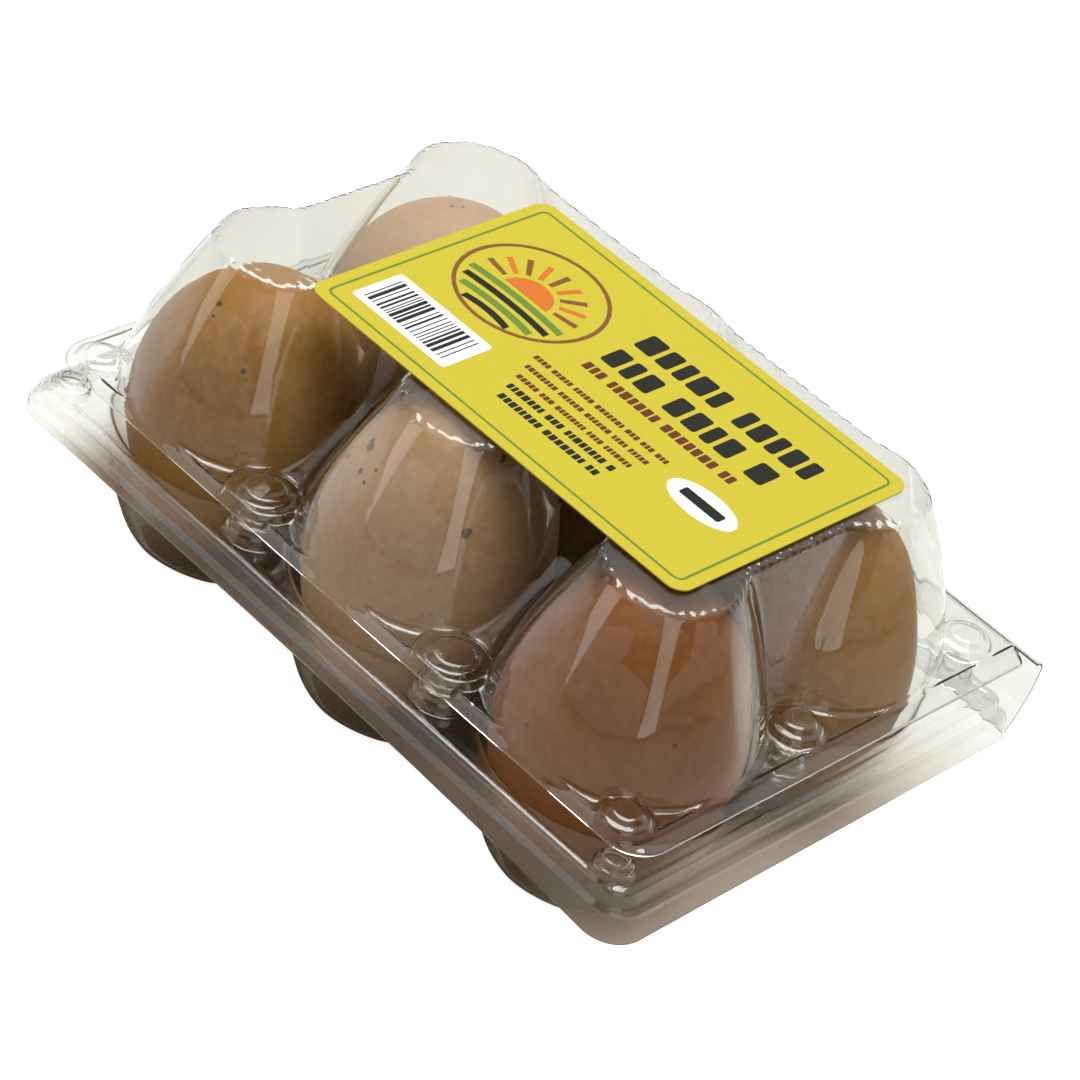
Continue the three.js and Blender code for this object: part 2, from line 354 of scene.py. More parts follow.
lid = {
    "domeFoot": 23.7,
    "domeShrink": 0.485,  # share of the foot's radius that the dome loses up to the top
    "domePower": 1.6,
    "domeOver": 1.1,  # how far up the dome's side goes on, as a share of its height
    "domeScale": 0.93,  # brings distances from the slanted wall near the true ones
    "creases": 8,
    "creaseSoft": 0.1,
    "flatLow": 0.3,  # how far the wall is a polygon rather than a circle, at the flange
    "flatMiddle": 0.85,  # half way up
    "flatHigh": 0.4,  # and at the top
    "topBlend": 0.85,
    "footBlend": 1.4,
    "domeBlend": 2.2,
    "valleyBlend": 2.0,
    "lipBlend": 0.5,
    "crease": (70.6, -45.6, 5.2),  # half width, front and corner radius of the flange's crease
    "lip": (73.8, -47.0, 7.0),
    "backY": 52.9,
    "backRadius": 1.0,
    "pastBack": 3.0,  # crease and lip run on this far behind the lid's back edge
    "lipFall": 1.1,
    "leastLip": 0.1,
    "bendSoft": 0.004,
    "bendLimit": 1.3,
    "bead": 0.38,  # height of the fine ridge along the crease
    "beadWidth": 0.55,
    "lipDrop": 0.8,
    "backGap": 0.3,  # the back lip is cut this far inside and below the flange's edge
    "spineFoot": (60.0, -34.0, 43.0),
    "spineTop": (55.0, -23.4, 34.5),
    "spineCorner": 9.0,
    "rampFoot": -34.0,
    "rampTop": 6.0,
    "notchMouth": (-36.0, 16.0),
    "notchTip": (5.0, 2.0),
    "waveHeight": 0.24,
    "waveLength": 1.6,
    "waveReach": 1.0,
    "waveSink": 0.3,
    "waveAcross": (0.61, 1.3, 0.23),  # rate of the waves, and sway and rate of their bending
    "waveAlong": (0.83, 1.1, 0.31),
    "step": 0.7,
    "fine": 0.5,
    "fineBands": (  # from and to along x, y and z
        ((-78, -60), (-33, -14), (14, 33), (60, 78)),
        ((-50, -33), (51, 56)),
        ((29, 35.5), (61.5, 66)),
    ),
    "underMargin": 2.5,
    "faces": 84000,
}


def edgeWaves(x, y):
    # the small waves that forming leaves along the plateau's edge
    size = 2 * math.pi / lid["waveLength"]
    rateX, swayX, bendX = lid["waveAcross"]
    rateY, swayY, bendY = lid["waveAlong"]
    return (
        np.sin(x * size * rateX + swayX * np.sin(y * size * bendX))
        + np.sin(y * size * rateY + swayY * np.sin(x * size * bendY))
    ) * lid["waveHeight"] / 2


def domeField(x, y, z, cell):
    rise = np.clip((z - pack["flangeZ"]) / (pack["plateauZ"] - pack["flangeZ"]), 0, lid["domeOver"])
    radius = lid["domeFoot"] * (1 - lid["domeShrink"] * rise ** lid["domePower"])
    across, along = x - cell[0], y - cell[1]
    lowHalf = np.clip(2 * rise, 0, 1)
    highHalf = np.clip(2 * rise - 1, 0, 1)
    polygon = (
        lid["flatLow"] + (lid["flatMiddle"] - lid["flatLow"]) * lowHalf
        + (lid["flatHigh"] - lid["flatMiddle"]) * highHalf ** 2
    )
    creased = creaseRing(np.arctan2(along, across), lid["creases"], lid["creaseSoft"])
    ring = 1 + polygon * (creased - 1)
    return (np.hypot(across, along) - radius * ring) * lid["domeScale"]


def spineField(x, y, z):
    # the raised middle between the domes, with a notched ramp at each front valley
    rise = (z - pack["flangeZ"]) / (pack["plateauZ"] - pack["flangeZ"])
    side, front, back = (
        low + (high - low) * rise for low, high in zip(lid["spineFoot"], lid["spineTop"]))
    corner = lid["spineCorner"]
    block = roundRectangle(x, y, side, front, back, corner, corner)
    rampRise = (pack["plateauZ"] - pack["flangeZ"]) / (lid["rampTop"] - lid["rampFoot"])
    above = (pack["flangeZ"] + (y - lid["rampFoot"]) * rampRise - z) / math.hypot(1, rampRise)
    (mouthY, mouthHalf), (tipY, tipHalf) = lid["notchMouth"], lid["notchTip"]
    half = mouthHalf + (y - mouthY) / (tipY - mouthY) * (tipHalf - mouthHalf)
    valley = np.maximum(above, np.abs(np.abs(x) - snaps["frontX"]) - np.maximum(half, 0))
    return softMax(block, -valley, lid["valleyBlend"])


caps = {
    "front": ((6.7, 1.5), (4.0, 2.5)),  # radius and height of each step
    "corner": ((4.4, 1.3), (2.9, 2.2)),
    "end": ((4.6, 1.6), (3.2, 2.7)),
    "slope": 0.3,
    "blend": 0.8,
}


def flangeTop(x, y):
    # flat inside the crease, with a fine ridge on it, and falling from there to the lip
    creaseX, creaseY, creaseRadius = lid["crease"]
    lipX, lipY, lipRadius = lid["lip"]
    back, backRadius = lid["backY"] + lid["pastBack"], lid["backRadius"]
    past = roundRectangle(x, y, creaseX, creaseY, back, creaseRadius, backRadius)
    left = -roundRectangle(x, y, lipX, lipY, back, lipRadius, backRadius)
    share = past / np.maximum(past + left, lid["leastLip"])
    bend = 0.5 * (share + np.sqrt(share ** 2 + lid["bendSoft"]))
    onBead = past / lid["beadWidth"]
    bead = lid["bead"] * (np.exp(-onBead ** 2) - np.clip(onBead, 0, 1))
    return pack["flangeZ"] - lid["lipFall"] * np.minimum(bend, lid["bendLimit"]) + bead


def lidField(x, y, z):
    body = spineField(x, y, z)
    for cell in cells:
        body = softMin(body, domeField(x, y, z, cell), lid["domeBlend"])
    nearEdge = np.exp(-np.abs(body) / lid["waveReach"])
    plateau = z - pack["plateauZ"] + nearEdge * (lid["waveSink"] - edgeWaves(x, y))
    body = softMax(body, plateau, lid["topBlend"])
    body = softMin(body, z - flangeTop(x, y), lid["footBlend"])
    body = withStuds(body, x, y, z, caps, pack["flangeZ"], capPlaces)
    lipX, lipY, lipRadius = lid["lip"]
    side = roundRectangle(x, y, lipX, lipY, lid["backY"], lipRadius, lid["backRadius"])
    return softMax(body, side, lid["lipBlend"])


def makeLid():
    lipX, lipY, _ = lid["lip"]
    bottom = pack["flangeZ"] - lid["lipFall"] - lid["lipDrop"]
    margin = net["margin"]
    low = (-lipX - margin, lipY - margin, bottom - lid["underMargin"])
    high = (lipX + margin, lid["backY"] + margin, pack["plateauZ"] + margin)

    def foot(x, y, z):
        # no lip along the back, where the fold joins on
        gap = lid["backGap"]
        return np.where(y > lid["backY"] - gap, pack["flangeZ"] - gap, bottom)

    lines = gridLines(lid, low, high)
    return thinSheet("lid_sheet", lidField, lines, pack["wall"], foot, lid["faces"])


# Tray

tray = {
    # half width, front, back and corner radius of each line round the tray
    "edge": (74.4, -49.4, 48.9, 4.4),
    "ledgeInner": (75.1, -49.9, 49.4, 4.9),
    "ledgeOuter": (76.3, -50.7, 50.6, 6.2),
    "foot": (77.19, -51.39, 51.39, 7.0),
    "backRadius": 2.0,
    "ledgeZ": 22.2,
    "ledgeFall": 0.4,
    "footZ": 16.0,
    "frontRise": 3.6,  # the rim bends up along the front, away from the near corner
    "backRise": 0.9,
    "bead": 0.35,
    "beadWidth": 0.9,
    "beadIn": 1.4,
    "edgeBlend": 0.8,
    "ledgeSlope": 1.6,  # the ledge falls over this much of its outer side
    "ledgeBlend": 0.7,
    "cupProfile": ((0.0, 14.8), (1.2, 16.1), (6.0, 18.9), (14.0, 21.4), (25.4, 23.4)),  # height, radius
    "cupFloor": 0.0,
    "cupCreases": 8,
    "cupFlat": 0.2,
    "creaseSoft": 0.08,
    "cupScale": 0.85,
    "floorBlend": 1.6,
    "mouthBlend": 1.3,
    "skirtIn": 2.2,  # inside this line from the foot the mesh goes down to the cellar
    "skirtInRadius": 6.8,
    "cellar": -1.5,
    "step": 0.8,
    "fine": 0.55,
    "fineBands": (
        ((-80, -60), (-31, -17), (17, 31), (60, 80)),
        ((-54, -35), (40, 54)),
        ((15, 31),),
    ),
    "overMargin": 6.0,
    "faces": 84000,
}

buttons = {
    "front": ((5.1, 1.5), (4.6, 3.0), (3.4, 4.0)),  # radius and height of each step
    "corner": ((3.5, 1.6), (2.6, 3.0)),
    "end": ((3.3, 1.6), (2.5, 3.0)),
    "slope": 0.12,
    "blend": 0.55,
}


def drafted(x, y, z, lowSize, lowZ, highSize, highZ):
    rise = (z - lowZ) / (highZ - lowZ)
    halfX, front, back, radius = (low + (high - low) * rise for low, high in zip(lowSize, highSize))
    return roundRectangle(x, y, halfX, front, back, radius, tray["backRadius"])


def cupField(x, y, z, cell):
    wall = pack["wall"]
    across, along = x - cell[0], y - cell[1]
    radius = throughPoints(z - wall * 0.5, tray["cupProfile"]) - wall
    creased = creaseRing(np.arctan2(along, across), tray["cupCreases"], tray["creaseSoft"])
    ring = 1 + tray["cupFlat"] * (creased - 1)
    side = (np.hypot(across, along) - radius * ring) * tray["cupScale"]
    return softMax(side, tray["cupFloor"] + wall - z, tray["floorBlend"])


def trayField(x, y, z):
    upper = drafted(x, y, z, tray["ledgeInner"], tray["ledgeZ"], tray["edge"], pack["shelfZ"])
    fromEdge = roundRectangle(x, y, *tray["edge"], tray["backRadius"])
    bead = tray["bead"] * np.exp(-((fromEdge + tray["beadIn"]) / tray["beadWidth"]) ** 2)
    upper = softMax(upper, z - pack["shelfZ"] - bead + tray["bead"], tray["edgeBlend"])
    ledgeZ = tray["ledgeZ"] - tray["ledgeFall"]
    lower = drafted(x, y, z, tray["foot"], tray["footZ"], tray["ledgeOuter"], ledgeZ)
    fromOuter = roundRectangle(x, y, *tray["ledgeOuter"], tray["backRadius"])
    ledge = ledgeZ + tray["ledgeFall"] * np.clip(-fromOuter / tray["ledgeSlope"], 0, 1)
    lower = softMax(lower, z - ledge, tray["edgeBlend"])
    body = softMin(upper, lower, tray["ledgeBlend"])
    body = withStuds(body, x, y, z, buttons, pack["shelfZ"], buttonPlaces)
    for cell in cells:
        body = softMax(body, -cupField(x, y, z, cell), tray["mouthBlend"])
    return body


def makeTray():
    halfX, front, back, _ = tray["foot"]
    inside, margin = tray["skirtIn"], net["margin"]
    skirtInside = (halfX - inside, front + inside, back - inside, tray["skirtInRadius"])
    low = (-halfX - margin, front - margin, tray["cellar"])
    high = (halfX + margin, back + margin, pack["shelfZ"] + tray["overMargin"])

    def foot(x, y, z):
        # the skirt ends above the floor, and the cups inside it go down whole
        outer = roundRectangle(x, y, *skirtInside, tray["backRadius"])
        left = np.clip((halfX - x) / (2 * halfX), 0, 1)
        behind = np.clip((y - front) / (back - front), 0, 1)
        frontRise = tray["frontRise"] * (1 - (1 - left) ** 3)
        rise = frontRise * (1 - behind) + tray["backRise"] * behind
        return np.where(outer > 0, tray["footZ"] + rise, tray["cellar"])

    lines = gridLines(tray, low, high)
    return thinSheet("tray_sheet", trayField, lines, pack["wall"], foot, tray["faces"])


# Hinge fold between the tray's back edge and the lid

fold = {
    "halfX": 76.2,
    "footY": 51.0,
    "bulge": 2.0,
    "topY": 54.95,
    "topZ": 30.2,
    "arcRadius": 2.1,
    "lidEndY": 52.95,
    "footGap": 0.05,  # the strip starts this far above the skirt's back edge
    "sharpFrom": 45,  # degrees between two faces that give a sharp edge
    "arcSteps": 8,
    "riseSteps": 10,
    "lengthSteps": 60,
}


def makeFold():
    # a section up the back and over to the lid, drawn out along the pack's length
    wall = pack["wall"]
    footY, topY, topZ, radius = fold["footY"], fold["topY"], fold["topZ"], fold["arcRadius"]
    footZ = tray["footZ"] + tray["backRise"] + fold["footGap"]
    line = []
    for i in range(fold["riseSteps"] + 1):
        share = i / fold["riseSteps"]
        out = 1 - (1 - share) ** fold["bulge"]
        line.append((footY + (topY - footY) * out, footZ + (topZ - footZ) * share))
    for i in range(1, fold["arcSteps"] + 1):
        turn = i / fold["arcSteps"] * math.pi / 2
        line.append((topY - radius + radius * math.cos(turn), topZ + radius * math.sin(turn)))
    line.append((fold["lidEndY"], topZ + radius))
    line = np.array(line)
    along = np.gradient(line, axis=0)
    along /= np.linalg.norm(along, axis=1)[:, None]
    side = np.stack([along[:, 1], -along[:, 0]], 1)
    section = np.concatenate([line + side * wall / 2, (line - side * wall / 2)[::-1]])
    count = len(section)
    steps = fold["lengthSteps"]
    points = [
        (fold["halfX"] * (2 * i / steps - 1), y, z) for i in range(steps + 1) for y, z in section
    ]
    faces = []
    for i in range(steps):
        for j in range(count):
            a, b = i * count + j, i * count + (j + 1) % count
            faces.append((a, b, b + count, a + count))
    half = count // 2
    for start, flip in ((0, True), (steps * count, False)):
        for j in range(half - 1):
            quad = [start + j, start + j + 1, start + count - 2 - j, start + count - 1 - j]
            faces.append(tuple(quad[::-1] if flip else quad))
    piece = meshObject("hinge_fold", toMetres(points), faces)
    bm = bmesh.new()
    bm.from_mesh(piece.data)
    bmesh.ops.recalc_face_normals(bm, faces=bm.faces)
    bm.to_mesh(piece.data)
    bm.free()
    piece.data.set_sharp_from_angle(angle=math.radians(fold["sharpFrom"]))
    return piece


# Label and its print

label = {
    "x": 8.5,
    "y": 0.5,
    "halfX": 44.8,
    "halfY": 29.0,
    "radius": 3.0,
    "bottom": 64.3,
    "top": 64.55,
    "inkTop": 64.59,
    "inkSink": 0.02,  # the print reaches this far into the card
    "overInk": 0.01,  # and what lies on other print stands this much higher
}


def roundOutline(halfX, halfY, radius, steps=6):
    points = []
    for quarter, (x, y) in enumerate(((1, 1), (-1, 1), (-1, -1), (1, -1))):
        for i in range(steps + 1):
            turn = (quarter + i / steps) * math.pi / 2
            points.append((
                x * (halfX - radius) + radius * math.cos(turn),
                y * (halfY - radius) + radius * math.sin(turn),
            ))
    return points


def ellipseOutline(halfX, halfY, steps=40):
    turns = np.linspace(0, 2 * math.pi, steps, False)
    return [(halfX * math.cos(a), halfY * math.sin(a)) for a in turns]


class FlatShapes:
    # gathers flat closed shapes of one thickness into one mesh with several materials
    def __init__(self):
        self.points, self.faces, self.inks = [], [], []

    def add(self, outline, ink, x=0, y=0, turn=0, low=None, high=None):
        low = label["top"] - label["inkSink"] if low is None else low
        high = label["inkTop"] if high is None else high
        c, s = math.cos(turn), math.sin(turn)
        start, count = len(self.points), len(outline)
        for z in (low, high):
            for u, v in outline:
                self.points.append((label["x"] + x + c * u - s * v, label["y"] + y + s * u + c * v, z))
        self.faces.append(tuple(start + count - 1 - i for i in range(count)))
        self.faces.append(tuple(start + count + i for i in range(count)))
        for i in range(count):
            j = (i + 1) % count
            self.faces.append((start + i, start + j, start + count + j, start + count + i))
        self.inks += [ink] * (count + 2)

    def ring(self, outer, inner, ink, x=0, y=0):
        low, high = label["top"] - label["inkSink"], label["inkTop"]
        start, count = len(self.points), len(outer)
        for line in (outer, inner):
            for z in (low, high):
                self.points += [(label["x"] + x + u, label["y"] + y + v, z) for u, v in line]
        for i in range(count):
            j = (i + 1) % count
            outLow, outHigh, inLow, inHigh = (start + n * count for n in range(4))
            self.faces += [
                (outHigh + i, outHigh + j, inHigh + j, inHigh + i),
                (outLow + j, outLow + i, inLow + i, inLow + j),
                (outLow + i, outLow + j, outHigh + j, outHigh + i),
                (inLow + j, inLow + i, inHigh + i, inHigh + j),
            ]
            self.inks += [ink] * 4

    def build(self, name, inks):
        piece = meshObject(name, toMetres(self.points), self.faces, smooth=False)
        names = list(inks)
        for ink in names:
            piece.data.materials.append(inks[ink])
        piece.data.polygons.foreach_set("material_index", [names.index(i) for i in self.inks])
        return piece


artwork = {
    "seed": 7,
    "border": (42.6, 26.8, 1.6, 0.45),  # half width, half height, corner radius, line
    "medallion": (-25.5, 6.5, 14.2, 0.8),  # place, radius, line
    "titleRows": ((-6.5, 15.4, 44.0), (-6.5, 7.0, 41.0)),  # left end, height and length of each
    "titleHeight": 5.6,
    "subRows": ((-6.5, 0.8, 36.0),),
    "subHeight": 2.3,
    "oval": (30.5, -8.6, 7.4, 3.9),
    "ovalBar": (0.62, 0.3, 0.5),  # shares of the oval, and corner radius
    "smallRows": 5,
    "smallFirst": (-12.0, -6.0, 32.0),
    "smallNext": (1.2, -3.3, -2.2),
    "smallHeight": 1.25,
    "smallRed": 3,  # this many of the small rows are red and lower
    "darkHeight": 1.3,
}

sunrise = {
    "radius": 0.36,  # share of the medallion's radius
    "sink": 0.12,
    "steps": 25,
    "rays": 9,
    "rayFrom": 1.1,
    "rayTo": 0.78,
    "rayHalf": 0.075,  # half a ray's angle, and the share of it at the ray's end
    "rayTaper": 0.7,
    "fields": 4,
    "fieldFirst": -0.9,
    "fieldPitch": 2.5,
    "fieldHeight": 1.5,
    "fieldSag": 0.7,
    "fieldInside": 1.6,
    "fieldMiddle": 1.1,
    "fieldReach": 0.93,
    "fieldSteps": 15,
}

blocks = {
    "width": (0.42, 0.74),  # shares of the row's height
    "corner": 0.1,
    "gap": 0.17,
    "space": 0.5,
    "endGap": 0.4,
    "perWord": (3, 8),
}

stripes = {
    "field": (-28.5, -17.2, 11.5, 6.0),  # place, half width, half height
    "corner": 0.8,
    "first": 1.6,
    "last": 1.8,
    "widths": (0.28, 0.28, 0.5, 0.8),
    "gaps": (0.3, 0.45, 0.7),
    "inset": 1.5,
    "round": 0.05,
}


def wordRow(shapes, ink, x, y, length, height, rng):
    # upright blocks with gaps between words, as long as a line of print
    at, left = x, rng.randint(*blocks["perWord"])
    while at < x + length - height * blocks["endGap"]:
        width = height * rng.uniform(*blocks["width"])
        block = roundOutline(width / 2, height / 2, height * blocks["corner"], 2)
        shapes.add(block, ink, at + width / 2, y)
        at += width + height * blocks["gap"]
        left -= 1
        if left == 0:
            at += height * blocks["space"]
            left = rng.randint(*blocks["perWord"])


def addSunrise(shapes, x, y, size):
    # a half sun with rays over four rows of fields
    sun = size * sunrise["radius"]
    base = y - size * sunrise["sink"]
    turns = np.linspace(0, math.pi, sunrise["steps"])
    shapes.add([(sun * math.cos(a), sun * math.sin(a)) for a in turns], "orange", x, base)
    near, far = sun + sunrise["rayFrom"], size * sunrise["rayTo"]
    half = sunrise["rayHalf"]
    tip = half * sunrise["rayTaper"]
    for i in range(sunrise["rays"]):
        a = math.pi * (i + 0.5) / sunrise["rays"]
        corners = ((near, -half), (far, -tip), (far, tip), (near, half))
        ray = [(out * math.cos(a + turn), out * math.sin(a + turn)) for out, turn in corners]
        shapes.add(ray, "orange" if i % 2 else "brown", x, base)
    for row in range(sunrise["fields"]):
        drop = sunrise["fieldFirst"] - row * sunrise["fieldPitch"]
        level = base - y + drop - sunrise["fieldMiddle"]
        inside = size - sunrise["fieldInside"]
        reach = math.sqrt(max(inside ** 2 - level ** 2, 1)) * sunrise["fieldReach"]
        places = np.linspace(reach, -reach, sunrise["fieldSteps"])
        upper = [(u, drop - sunrise["fieldSag"] * (u / reach) ** 2) for u in places]
        lower = [(u, v - sunrise["fieldHeight"]) for u, v in reversed(upper)]
        shapes.add(upper + lower, "green" if row % 2 == 0 else "dark", x, base)


def addStripes(shapes, rng):
    x, y, halfX, halfY = stripes["field"]
    shapes.add(roundOutline(halfX, halfY, stripes["corner"], 3), "white", x, y)
    at = -halfX + stripes["first"]
    while at < halfX - stripes["last"]:
        width = rng.choice(stripes["widths"])
        stripe = roundOutline(width / 2, halfY - stripes["inset"], stripes["round"], 1)
        shapes.add(stripe, "dark", x + at + width / 2, y, high=label["inkTop"] + label["overInk"])
        at += width + rng.choice(stripes["gaps"])


def makeLabel(paper, inks):
    rng = random.Random(artwork["seed"])
    card = FlatShapes()
    card.add(roundOutline(label["halfX"], label["halfY"], label["radius"], 8), "paper",
             low=label["bottom"], high=label["top"])
    cardPiece = card.build("label_card", {"paper": paper})
    shapes = FlatShapes()
    halfX, halfY, radius, line = artwork["border"]
    inner = roundOutline(halfX - line, halfY - line, radius - line)
    shapes.ring(roundOutline(halfX, halfY, radius), inner, "green")
    x, y, size, line = artwork["medallion"]
    shapes.ring(ellipseOutline(size, size), ellipseOutline(size - line, size - line), "brown", x, y)
    addSunrise(shapes, x, y, size)
    for x, y, length in artwork["titleRows"]:
        wordRow(shapes, "dark", x, y, length, artwork["titleHeight"], rng)
    for x, y, length in artwork["subRows"]:
        wordRow(shapes, "red", x, y, length, artwork["subHeight"], rng)
    x, y, halfX, halfY = artwork["oval"]
    shapes.add(ellipseOutline(halfX, halfY), "white", x, y)
    shareX, shareY, corner = artwork["ovalBar"]
    bar = roundOutline(halfX * shareX, halfY * shareY, corner, 3)
    shapes.add(bar, "dark", x, y, high=label["inkTop"] + label["overInk"])
    for row in range(artwork["smallRows"]):
        red = row < artwork["smallRed"]
        height = artwork["smallHeight"] * (1 if red else artwork["darkHeight"])
        x, y, length = (a + row * b for a, b in zip(artwork["smallFirst"], artwork["smallNext"]))
        wordRow(shapes, "red" if red else "dark", x, y, length, height, rng)
    addStripes(shapes, rng)
    return cardPiece, shapes.build("label_print", inks)


# Eggs

# A taper above zero has the narrow end up, and below zero the broad one. The lean is in
# degrees, the colours are linear, and each spot has its place and radius.
eggRows = {
    "front_left": {
        "column": -1, "row": -1, "radius": 20.9, "height": 54.8, "taper": -0.05, "lean": 0.5,
        "slot": "shell_tan", "base": (0.275, 0.122, 0.018), "light": (0.350, 0.172, 0.036),
        "dark": (0.195, 0.072, 0.009), "speck": 0.55,
        "spots": ((-50.3, -33.1, 52.7, 0.45), (-38.7, -36.3, 47.3, 0.4), (-49.2, -35.0, 51.4, 0.3)),
    },
    "front_middle": {
        "column": 0, "row": -1, "radius": 21.5, "height": 61.4, "taper": 0.03, "lean": 0.2,
        "slot": "shell_olive_beige", "base": (0.378, 0.222, 0.122), "light": (0.446, 0.280, 0.170),
        "dark": (0.305, 0.163, 0.078), "speck": 0.5,
        "spots": (
            (-15.9, -32.0, 47.7, 0.4), (-8.0, -36.2, 53.0, 0.75), (-8.6, -35.4, 53.5, 0.5),
            (-11.7, -36.6, 48.5, 0.4), (-6.4, -39.0, 50.1, 0.45), (-4.3, -40.0, 49.5, 0.35),
            (-3.7, -38.7, 52.1, 0.3),
        ),
    },
    "front_right": {
        "column": 1, "row": -1, "radius": 21.3, "height": 60.2, "taper": 0.08, "lean": 0.6,
        "slot": "shell_orange_brown", "base": (0.210, 0.067, 0.008), "light": (0.272, 0.096, 0.015),
        "dark": (0.150, 0.042, 0.005), "speck": 0.25,
        "spots": ((36.0, -37.4, 45.2, 0.35), (64.1, -32.4, 42.6, 0.4)),
    },
    "back_left": {
        "column": -1, "row": 1, "radius": 21.2, "height": 54.0, "taper": -0.1, "lean": -0.8,
        "slot": "shell_pink_beige", "base": (0.410, 0.245, 0.133), "light": (0.462, 0.300, 0.176),
        "dark": (0.370, 0.208, 0.107), "speck": 0.2,
        "spots": ((-51.8, 23.9, 54.5, 0.35), (-50.6, 25.4, 54.6, 0.3)),
    },
    "back_middle": {
        "column": 0, "row": 1, "radius": 21.2, "height": 57.0, "taper": 0.12, "lean": 0.5,
        "slot": "shell_light_brown", "base": (0.310, 0.158, 0.058), "light": (0.372, 0.211, 0.092),
        "dark": (0.236, 0.105, 0.035), "speck": 0.3, "spots": (),
    },
    "back_right": {
        "column": 1, "row": 1, "radius": 20.5, "height": 57.0, "taper": 0.17, "lean": -1.0,
        "slot": "shell_brown", "base": (0.304, 0.139, 0.033), "light": (0.388, 0.192, 0.056),
        "dark": (0.230, 0.098, 0.024), "speck": 0.3, "spots": (),
    },
}
eggMesh = {
    "rings": 56,
    "sides": 72,
    "floor": 1.0,  # the eggs stand this far above the pack's foot
    "unevenness": 0.12,
    "secondWave": 0.6,
}


def makeEgg(name, egg, seed):
    rng = random.Random(seed)
    phases = [rng.uniform(0, 2 * math.pi) for _ in range(4)]
    points, faces = [], []
    rings, sides, taper = eggMesh["rings"], eggMesh["sides"], egg["taper"]
    for i in range(rings + 1):
        angle = i / rings * math.pi
        up = -math.cos(angle)
        reach = egg["radius"] * math.sin(angle) * (1 - taper * up) / (1 + taper ** 2 / 2)
        for j in range(sides if 0 < i < rings else 1):
            turn = j / sides * 2 * math.pi
            first = math.sin(2 * turn + phases[0]) * math.sin(2 * angle + phases[1])
            second = math.sin(3 * turn + phases[2]) * math.sin(3 * angle + phases[3])
            wobble = first + eggMesh["secondWave"] * second
            out = reach - abs(eggMesh["unevenness"] * math.sin(angle) * wobble)
            points.append((out * math.cos(turn), out * math.sin(turn), up * egg["height"] / 2))

    def at(i, j):
        if i == 0:
            return 0
        if i == rings:
            return len(points) - 1
        return 1 + (i - 1) * sides + j % sides

    for i in range(rings):
        for j in range(sides):
            quad = [at(i, j), at(i, j + 1), at(i + 1, j + 1), at(i + 1, j)]
            faces.append(tuple(dict.fromkeys(quad)))
    lean = math.radians(egg["lean"])
    x, y, z = np.array(points).T
    c, s = math.cos(lean), math.sin(lean)
    points = np.stack([x, y * c - z * s, y * s + z * c], 1)
    middleZ = eggMesh["floor"] + egg["height"] / 2
    points += (egg["column"] * pack["pitchX"], egg["row"] * pack["pitchY"] / 2, middleZ)
    return meshObject(name, toMetres(points), faces)


# Shader groups shared by several materials

def newGroup(name, inputs, outputs):
    # number sockets alone; inputs also gives each one's usual value
    group = bpy.data.node_groups.new(name, "ShaderNodeTree")
    for key, value in inputs.items():
        socket = group.interface.new_socket(key, in_out="INPUT", socket_type="NodeSocketFloat")
        socket.default_value = value
    for key in outputs:
        group.interface.new_socket(key, in_out="OUTPUT", socket_type="NodeSocketFloat")
    return group, group.nodes.new("NodeGroupInput"), group.nodes.new("NodeGroupOutput")


def addNode(tree, kind, settings=None, **inputs):
    node = tree.nodes.new(kind)
    for key, value in (settings or {}).items():
        setattr(node, key, value)
    for key, value in inputs.items():
        socket = node.inputs[int(key[1:])] if key[0] == "i" and key[1:].isdigit() else node.inputs[key]
        if isinstance(value, bpy.types.NodeSocket):
            tree.links.new(value, socket)
        else:
            socket.default_value = value
    return node


def maths(tree, operation, a, b=0.0):
    return addNode(tree, "ShaderNodeMath", {"operation": operation}, i0=a, i1=b).outputs[0]


def times(tree, a, b):
    return maths(tree, "MULTIPLY", a, b)


def vectorMaths(tree, operation, a, b=(0, 0, 0), result="Vector"):
    return addNode(tree, "ShaderNodeVectorMath", {"operation": operation}, i0=a, i1=b).outputs[result]


def noise(tree, place, scale, detail, roughness=0.5, seed=None):
    if seed is None:
        settings, extra = {}, {}
    else:
        settings, extra = {"noise_dimensions": "4D"}, {"W": seed}
    node = addNode(tree, "ShaderNodeTexNoise", settings,
                   Vector=place, Scale=scale, Detail=detail, Roughness=roughness, **extra)
    return node.outputs["Fac"]


def ramp(tree, value, low, high, toLow=0.0, toHigh=1.0):
    node = addNode(tree, "ShaderNodeMapRange", {"interpolation_type": "SMOOTHSTEP"},
                   i0=value, i1=low, i2=high, i3=toLow, i4=toHigh)
    return node.outputs[0]


def mixColour(tree, share, a, b):
    node = tree.nodes.new("ShaderNodeMix")
    node.data_type = "RGBA"
    # sockets 6 and 7 are the two colours
    for socket, value in ((node.inputs[0], share), (node.inputs[6], a), (node.inputs[7], b)):
        if isinstance(value, bpy.types.NodeSocket):
            tree.links.new(value, socket)
        elif isinstance(value, tuple):
            socket.default_value = (*value, 1)
        else:
            socket.default_value = value
    return node.outputs[2]


shellLook = {
    "cloud": (42.0, 2.5, 0.55),  # scale, detail and roughness of each noise
    "fleck": (520.0, 1.5, 0.6),
    "patch": (75.0, 1.0),
    "grain": (300.0, 2.0),
    "cloudEdge": (0.3, 0.7),
    "fleckEdge": (0.42, 0.66),
    "patchEdge": (0.45, 0.72),
    "speckScale": 230.0,
    "speckSize": 0.26,
    "speckEdge": (-0.02, 0.05),
    "speckShare": 0.85,
    "poreScale": 1900.0,
    "poreEdge": (0.12, 0.4),
    "poreDepth": 0.5,
}


